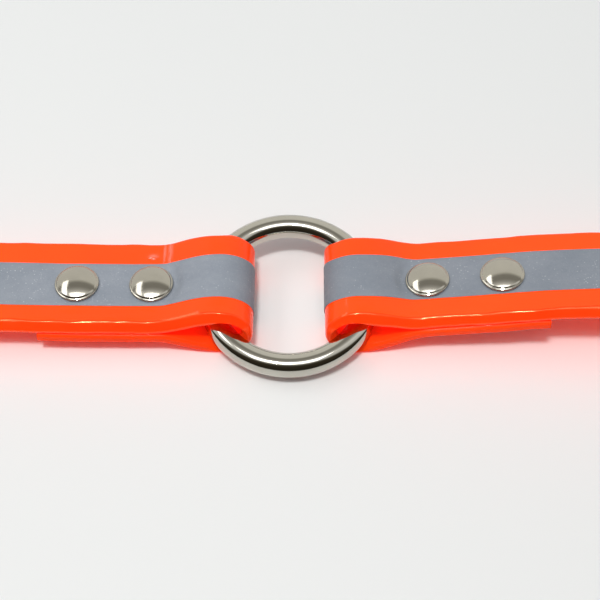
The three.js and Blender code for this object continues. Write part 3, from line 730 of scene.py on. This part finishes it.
def lathe(name, profile, seg=72, smooth_angle=40):
    verts, rings = [], []
    for r, z in profile:
        if r < 1e-6:
            rings.append([len(verts)]); verts.append((0, 0, z))
        else:
            rings.append(list(range(len(verts), len(verts) + seg)))
            verts += [(r * math.cos(2 * math.pi * k / seg), r * math.sin(2 * math.pi * k / seg), z) for k in range(seg)]
    faces = []
    for a, b in zip(rings, rings[1:]):
        for k in range(seg):
            m = (k + 1) % seg
            if len(a) == 1 and len(b) > 1:
                faces.append((a[0], b[m], b[k]))
            elif len(b) == 1 and len(a) > 1:
                faces.append((a[k], a[m], b[0]))
            elif len(a) > 1 and len(b) > 1:
                faces.append((a[k], a[m], b[m], b[k]))
    ob = mesh_from(name, verts, faces, smooth_angle=smooth_angle)
    bm = bmesh.new(); bm.from_mesh(ob.data)
    bmesh.ops.recalc_face_normals(bm, faces=bm.faces)
    bm.to_mesh(ob.data); bm.free()
    return ob

def cap_profile(base, top, lift=0.0, R=5.2):
    """from under the rim, round its rolled lip, over the crease and up the dome"""
    pts = [(R - 0.6, base)]
    for a in np.radians([-75, -50, -25, 0, 22, 42, 60, 78]):
        pts.append((R - 0.36 + 0.36 * math.cos(a), base + lift + 0.36 + 0.36 * math.sin(a)))
    pts[1] = (R - 0.3, base)
    pts.append((R - 0.41, base + lift + 0.745))
    pts.append((R - 0.45, base + lift + 0.79))
    r0, z0 = R - 0.66, base + lift + 1.03
    rise = top - z0
    sph = (r0 * r0 + rise * rise) / (2 * rise)
    for a in np.linspace(0.0, 1.0, 30):
        r = r0 * (1 - a)
        pts.append((max(r, 0), top - sph + math.sqrt(sph * sph - r * r)))
    return pts

base, top = STACK - 0.22, STACK + 1.56

def stud_piece(name):
    return lathe(name, [(0, -STACK + 1.1), (0.95, -STACK + 1.1), (1.25, -STACK + 1.4), (1.25, base - 0.15), (1.5, base)] + cap_profile(base, top + 0.36, -0.04))

def post_piece(name):
    ob = lathe(name, [(0, STACK - 0.4), (1.4, STACK - 0.4), (1.4, -STACK + 0.5), (1.55, -STACK + 0.38), (1.8, -STACK + 0.38), (1.95, -STACK + 0.5), (1.95, base - 0.15), (2.2, base)] + cap_profile(base, top, -0.20))
    ob.data.transform(Matrix.Rotation(math.pi, 4, "X"))
    return ob

rivet_objs = []
for key, (c, ax) in rframes.items():
    m = Matrix.Identity(4)
    for i in range(3):
        for j in range(3):
            m[j][i] = ax[i][j]
    m.translation = Vector(c) * MM
    for kind, make in (("stud", stud_piece), ("post", post_piece)):
        ob = make(f"cap_{key}_{kind}")
        ob.data.transform(m)
        dress(ob, nickel_rivet)
        rivet_objs.append((ob, f"rivet_{key}_{kind}", RIVETS[key][2]))

# ------------------------------------------------------------------ closed and open wire sweeps
def sweep(name, pts, ups, section, closed=False, smooth_angle=40, scales=None):
    pts = np.array(pts, float)
    n, m = len(pts), len(section)
    if closed:
        tan = np.roll(pts, -1, 0) - np.roll(pts, 1, 0)
    else:
        tan = np.gradient(pts, axis=0)
    tan /= np.linalg.norm(tan, axis=1)[:, None]
    verts = []
    for i in range(n):
        u = np.array(ups[i] if isinstance(ups, list) else ups, float)
        u = u - (u @ tan[i]) * tan[i]
        u /= np.linalg.norm(u)
        s = np.cross(tan[i], u)
        k = 1.0 if scales is None else scales[i]
        for a, b in section:
            verts.append(pts[i] + s * a * k + u * b * k)
    faces = []
    for i in range(n if closed else n - 1):
        a, b = i * m, ((i + 1) % n) * m
        for j in range(m):
            k = (j + 1) % m
            faces.append((a + j, a + k, b + k, b + j))
    if not closed:
        faces.append(tuple(range(m))[::-1])
        faces.append(tuple(range((n - 1) * m, n * m)))
    ob = mesh_from(name, verts, faces, smooth_angle=smooth_angle)
    bm = bmesh.new(); bm.from_mesh(ob.data)
    bmesh.ops.recalc_face_normals(bm, faces=bm.faces)
    bm.to_mesh(ob.data); bm.free()
    return ob

def circle(r, n=32, sq=1.0, flat=1.0):
    out = []
    for k in range(n):
        a = 2 * math.pi * k / n
        c, s = math.cos(a), math.sin(a)
        e = 2.0 / sq
        out.append((math.copysign(abs(c) ** e, c) * r, math.copysign(abs(s) ** e, s) * r * flat))
    return out

def rounded_rect(x0, y0, x1, y1, r, arc=12, side=1.0):
    pts = []
    for cx, cy, a0 in ((x1 - r, y0 + r, -90), (x1 - r, y1 - r, 0), (x0 + r, y1 - r, 90), (x0 + r, y0 + r, 180)):
        for k in range(arc + 1):
            a = math.radians(a0 + 90 * k / arc)
            pts.append((cx + r * math.cos(a), cy + r * math.sin(a)))
    out = []
    for i in range(len(pts)):
        a, b = np.array(pts[i]), np.array(pts[(i + 1) % len(pts)])
        d = np.linalg.norm(b - a)
        k = max(1, int(d / side))
        out += [tuple(a + (b - a) * t / k) for t in range(k)]
    return out

buckle_m = Matrix.Translation(Vector((HEEL_X, Y0, HEEL_Z)) * MM) @ Matrix.Rotation(-SAG, 4, "Y")

path = [(x, y, 0) for x, y in rounded_rect(-SPAN, -16.0, 0, 16.0, 2.7)]
# the cast frame's round section is a little flattened, top to bottom
frame_ob = sweep("frame_of_buckle", path, (0, 0, 1), circle(1.98, 36, 2.0, 0.96), closed=True)
frame_ob.data.transform(buckle_m)
dress(frame_ob, nickel_buckle)

L2 = 12.7
prof = []
for r0, zz in ((2.35, -L2 + 0.15), (2.5, -L2), (2.95, -L2), (3.13, -L2 + 0.08), (3.2, -L2 + 0.3)):
    prof.append((r0, zz))
prof += [(3.2, z) for z in np.linspace(-L2 + 1.5, L2 - 1.5, 9)]
for r0, zz in ((3.2, L2 - 0.3), (3.13, L2 - 0.08), (2.95, L2), (2.5, L2), (2.35, L2 - 0.15), (2.35, -L2 + 0.15)):
    prof.append((r0, zz))

def roller_piece():
    seg = 96
    verts, faces = [], []
    for r, z in prof[:-1]:
        for k in range(seg):
            a = 2 * math.pi * k / seg
            # rolled sheet: a fine seam along its length
            seam = math.exp(-(((a - math.pi * 0.5) * 3.2) / 0.16) ** 2)
            rr = r - (0.16 * seam if r > 2.9 else 0)
            verts.append((rr * math.cos(a), z, rr * math.sin(a)))
    n = len(prof) - 1
    for i in range(n):
        for k in range(seg):
            j, m = (i + 1) % n, (k + 1) % seg
            faces.append((i * seg + k, i * seg + m, j * seg + m, j * seg + k))
    ob = mesh_from("roller_of_buckle", verts, faces, smooth_angle=40)
    bm = bmesh.new(); bm.from_mesh(ob.data)
    bmesh.ops.recalc_face_normals(bm, faces=bm.faces)
    bm.to_mesh(ob.data); bm.free()
    return ob

roller = roller_piece()
roller.data.transform(buckle_m @ Matrix.Translation((-SPAN * MM, 0, 0)) @ Matrix.Rotation(math.pi, 4, "Y"))
dress(roller, nickel_buckle)

CURL = 2.0 + 0.28 + 1.6
ctrl = [(CURL * math.cos(math.radians(a)), CURL * math.sin(math.radians(a))) for a in np.linspace(-150, 88, 18)]
ctrl += [(-3, CURL + 0.1), (-8, CURL + 0.45), (-14, CURL + 0.8), (-20, CURL + 1.05), (-25, 3.2 + 1.6 + 0.25), (-28.6, 3.2 + 1.6 - 0.45)]

def catmull(points, per):
    p = np.array(points, float)
    p = np.vstack([2 * p[0] - p[1], p, 2 * p[-1] - p[-2]])
    out = []
    for i in range(1, len(p) - 2):
        for t in np.linspace(0, 1, per, endpoint=False):
            a, b, c, d = p[i - 1], p[i], p[i + 1], p[i + 2]
            out.append(0.5 * (2 * b + (c - a) * t + (2 * a - 5 * b + 4 * c - d) * t * t + (3 * b - a - 3 * c + d) * t ** 3))
    out.append(p[-2])
    return np.array(out)

tl = catmull(ctrl, 7)
tl, _ = resample(tl, 0.45)
nT = len(tl)
tip_s = np.arange(nT)[::-1] * 0.45
scales = [max(0.12, min(1.0, math.sqrt(max(0, 1 - (1 - min(1, d / 1.6)) ** 2)))) for d in tip_s]
scales = [s * min(1.0, 0.80 + 0.2 * min(1, i * 0.45 / 1.2)) for i, s in enumerate(scales)]
tongue = sweep("tongue_of_buckle", [(x, 0, z) for x, z in tl], (0, 1, 0), circle(1.6, 28, 2.0), scales=scales)
tongue.data.transform(buckle_m)
dress(tongue, nickel_buckle)

k_lo, k_hi = mm_box("keeper_loop")
kx = (k_lo[0] + k_hi[0]) / 2
kt = 1.5
kpath = [(kx, y, z) for y, z in rounded_rect(k_lo[1] + kt / 2, k_lo[2] + kt / 2, k_hi[1] - kt / 2, k_hi[2] - kt / 2, 1.5, 12, 0.8)]
cen = np.array([kx, (k_lo[1] + k_hi[1]) / 2, (k_lo[2] + k_hi[2]) / 2])

def flat_section(w, t, r, arc=5):
    return rounded_rect(-w / 2, -t / 2, w / 2, t / 2, r, arc, 0.7)

keeper = sweep("keeper_of_strap", kpath, (1, 0, 0), [(a, b) for b, a in flat_section(5.0, kt, 0.5)], closed=True)
dress(keeper, nickel_buckle)

# ------------------------------------------------------------------ ride, replace
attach(strap_l, "buckle_side_strap"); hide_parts("buckle_strap")
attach(strap_r, "punched_strap"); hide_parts("hole_strap")
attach(tape_l, "buckle_side_strap"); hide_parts("buckle_strap_tape")
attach(tape_r, "punched_strap"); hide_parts("hole_strap_tape")
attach(ring, "ring"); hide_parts("centre_ring")
for ob, node, side in rivet_objs:
    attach(ob, "buckle_side_strap" if side < 0 else "punched_strap")
    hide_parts(node)
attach(frame_ob, "buckle"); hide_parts("buckle_frame")
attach(roller, "roller"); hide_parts("buckle_roller")
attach(tongue, "tongue"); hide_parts("buckle_tongue")
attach(keeper, "keeper"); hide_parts("keeper_loop")

# ------------------------------------------------------------------ floor
fl = Nodes("pale_floor")
soft = fl.noise(fl.mapped((1, 1, 1)), 3.0, 2)
tone = fl.ramp(soft, [(0.3, (0.832, 0.846, 0.842, 1)), (0.7, (0.846, 0.86, 0.856, 1))])
# painted light: the floor's colour is scaled along y, 0.915 on the camera's side to 1.035 beyond, to even out the
# lamps' light over it
axes = fl.add("ShaderNodeSeparateXYZ")
fl.link(fl.geo.outputs["Object"], axes.inputs[0])
painted_falloff = fl.add("ShaderNodeMapRange")
for nm, v in (("From Min", -0.11), ("From Max", 0.11), ("To Min", 0.915), ("To Max", 1.035)):
    painted_falloff.inputs[nm].default_value = v
fl.link(axes.outputs[1], painted_falloff.inputs["Value"])
comb = fl.add("ShaderNodeCombineXYZ")
for i in range(3):
    fl.link(painted_falloff.outputs[0], comb.inputs[i])
fl.link(fl.mix(1.0, tone, comb.outputs[0], "MULTIPLY"), fl.bsdf.inputs["Base Color"])
fl.val(fl.bsdf, "Roughness", 0.55)
fl.val(fl.bsdf, "Specular IOR Level", 0.25)
far = fl.add("ShaderNodeEmission")
far.inputs["Color"].default_value = (0.87, 0.875, 0.875, 1)
lp_f = fl.add("ShaderNodeLightPath")
dist = fl.add("ShaderNodeVectorMath", operation="LENGTH")
fl.link(fl.geo.outputs["Object"], dist.inputs[0])
spread = fl.add("ShaderNodeMapRange", interpolation_type="SMOOTHSTEP")
for nm, v in (("From Min", 0.20), ("From Max", 0.62), ("To Min", 0.0), ("To Max", 1.0)):
    spread.inputs[nm].default_value = v
fl.link(dist.outputs["Value"], spread.inputs["Value"])
blend = fl.add("ShaderNodeMixShader")
fl.link(fl.math("MULTIPLY", spread.outputs[0], lp_f.outputs["Is Camera Ray"]), blend.inputs[0])
fl.link(fl.bsdf.outputs[0], blend.inputs[1])
fl.link(far.outputs[0], blend.inputs[2])
fl.link(blend.outputs[0], fl.out.inputs[0])
me = bpy.data.meshes.new("floor")
S = 12.0
me.from_pydata([(S * math.cos(2 * math.pi * k / 64), S * math.sin(2 * math.pi * k / 64), 0) for k in range(64)], [], [tuple(range(64))])
floor = bpy.data.objects.new("floor", me)
scene.collection.objects.link(floor)
dress(floor, fl.m)
# when a strap or the buckle swings below the table's level, the floor drops out of its way
def marker(name, at, body):
    e = bpy.data.objects.new(name, None)
    e.empty_display_size = 0.002
    e.location = Vector(at) * MM
    scene.collection.objects.link(e)
    if body:
        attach(e, body)
    return e

marks = [marker("level_table", (0, 0, 0), None),
         marker("level_heel", (HEEL_X - 2, Y0, 0.0), "buckle_side_strap"),
         marker("level_buckle", (HEEL_X - SPAN - 3.5, Y0, 0.0), "buckle"),
         marker("level_tip", (END, Y0, 0.0), "punched_strap")]
drv = floor.driver_add("location", 2).driver
drv.type = "MIN"
for i, e in enumerate(marks):
    v = drv.variables.new()
    v.name = f"level_{i}"
    v.type = "TRANSFORMS"
    v.targets[0].id = e
    v.targets[0].transform_type = "LOC_Z"
    v.targets[0].transform_space = "WORLD_SPACE"

# ------------------------------------------------------------------ light
def area(name, loc, target, sx, sy, power, color=(1, 1, 1)):
    l = bpy.data.lights.new(name, "AREA")
    l.shape = "RECTANGLE"
    l.size, l.size_y = sx, sy
    l.energy = power
    l.color = color
    o = bpy.data.objects.new(name, l)
    o.location = loc
    o.rotation_mode = "QUATERNION"
    o.rotation_quaternion = (Vector(target) - Vector(loc)).to_track_quat("-Z", "Y")
    scene.collection.objects.link(o)
    return o

area("key_lamp", (-0.09, -0.31, 1.0), (-0.09, -0.31, 0), 0.14, 0.11, 5.6, (1.0, 0.99, 0.97))
area("overhead_window", (-0.07, -0.325, 1.02), (-0.07, -0.325, 0), 0.80, 0.39, 2.3, (1.0, 0.995, 0.98))
area("left_window", (-0.84, 0.22, 1.0), (-0.84, 0.22, 0), 0.42, 1.0, 3.4, (1.0, 0.995, 0.98))

world = bpy.data.worlds.new("studio")
scene.world = world
world.use_nodes = True
wt = world.node_tree
wt.nodes.clear()
out = wt.nodes.new("ShaderNodeOutputWorld")
def wn(kind, **kw):
    n = wt.nodes.new(kind)
    for k, v in kw.items():
        setattr(n, k, v)
    return n
def wmath(op, a, b=0.0):
    m = wn("ShaderNodeMath", operation=op)
    for i, v in enumerate((a, b)):
        if hasattr(v, "links"):
            wt.links.new(v, m.inputs[i])
        else:
            m.inputs[i].default_value = v
    return m.outputs[0]
tc = wn("ShaderNodeTexCoord")
sep = wn("ShaderNodeSeparateXYZ")
wt.links.new(tc.outputs["Generated"], sep.inputs[0])
dx, dy, dz = sep.outputs
# angle from straight up, positive to the viewer's side, in degrees / 180 about the middle
theta = wmath("ARCTAN2", wmath("MULTIPLY", dy, -1.0), dz)
fac = wmath("ADD", wmath("DIVIDE", theta, 2 * math.pi), 0.5)
ramp = wn("ShaderNodeValToRGB")
def g2(v, w=1.0):
    return (v * w, v, v / w, 1)
stops = [(-180, (0.80, 0.785, 0.74, 1)), (-94, (0.84, 0.825, 0.77, 1)), (-60, (0.84, 0.825, 0.77, 1)), (-34, (0.80, 0.785, 0.73, 1)),
         (-29, (0.52, 0.505, 0.46, 1)), (-24, (0.32, 0.308, 0.277, 1)), (-11, (0.31, 0.298, 0.268, 1)), (-3, (0.48, 0.465, 0.44, 1)), (3, (0.74, 0.73, 0.70, 1)), (8, (0.95, 0.95, 0.93, 1)),
         (28, (0.72, 0.71, 0.69, 1)), (36, (0.15, 0.14, 0.12, 1)), (45, (0.05, 0.04, 0.027, 1)), (75, (0.025, 0.02, 0.013, 1)), (88, (0.06, 0.055, 0.045, 1)),
         (98, (0.26, 0.25, 0.22, 1)), (110, (0.66, 0.64, 0.58, 1)), (180, (0.76, 0.74, 0.68, 1))]
els = ramp.color_ramp.elements
pos = lambda a: a / 360 + 0.5
els[0].position, els[0].color = pos(stops[0][0]), stops[0][1]
els[1].position, els[1].color = pos(stops[-1][0]), stops[-1][1]
for a, c in stops[1:-1]:
    e = els.new(pos(a)); e.color = c
wt.links.new(fac, ramp.inputs[0])
bg_mirror = wn("ShaderNodeBackground")
wt.links.new(ramp.outputs[0], bg_mirror.inputs[0])
bg_mirror.inputs[1].default_value = 1.0
bg_soft = wn("ShaderNodeBackground")
# the room's soft light: fullest overhead, dim at the horizon
soft_ramp = wn("ShaderNodeValToRGB")
soft_ramp.color_ramp.elements[0].position, soft_ramp.color_ramp.elements[0].color = 0.0, (0.03, 0.03, 0.031, 1)
soft_ramp.color_ramp.elements[1].position, soft_ramp.color_ramp.elements[1].color = 1.0, (0.53, 0.535, 0.545, 1)
soft_ramp.color_ramp.elements.new(0.45).color = (0.11, 0.111, 0.113, 1)
wt.links.new(dz, soft_ramp.inputs[0])
wt.links.new(soft_ramp.outputs[0], bg_soft.inputs[0])
bg_soft.inputs[1].default_value = 1.0
bg_seen = wn("ShaderNodeBackground")
bg_seen.inputs[0].default_value = (0.87, 0.875, 0.875, 1)
lp = wn("ShaderNodeLightPath")
m1 = wn("ShaderNodeMixShader")
wt.links.new(lp.outputs["Is Glossy Ray"], m1.inputs[0])
wt.links.new(bg_soft.outputs[0], m1.inputs[1])
wt.links.new(bg_mirror.outputs[0], m1.inputs[2])
m2 = wn("ShaderNodeMixShader")
wt.links.new(lp.outputs["Is Camera Ray"], m2.inputs[0])
wt.links.new(m1.outputs[0], m2.inputs[1])
wt.links.new(bg_seen.outputs[0], m2.inputs[2])
wt.links.new(m2.outputs[0], out.inputs[0])

# ------------------------------------------------------------------ camera
cam = bpy.data.cameras.new("camera")
cam.sensor_width = 36.0
camo = bpy.data.objects.new("camera", cam)
scene.collection.objects.link(camo)
EL, DIST = math.radians(54.0), 0.290
target = Vector((0.00254, -0.00171, 0.00702))
back_v = Vector((0, -math.cos(EL), math.sin(EL)))
camo.location = target + back_v * DIST
camo.rotation_mode = "QUATERNION"
camo.rotation_quaternion = (-back_v).to_track_quat("-Z", "Y")
cam.lens = 4.22 * 290.0 / 600.0 * 36.0
cam.clip_start, cam.clip_end = 0.01, 20
scene.camera = camo
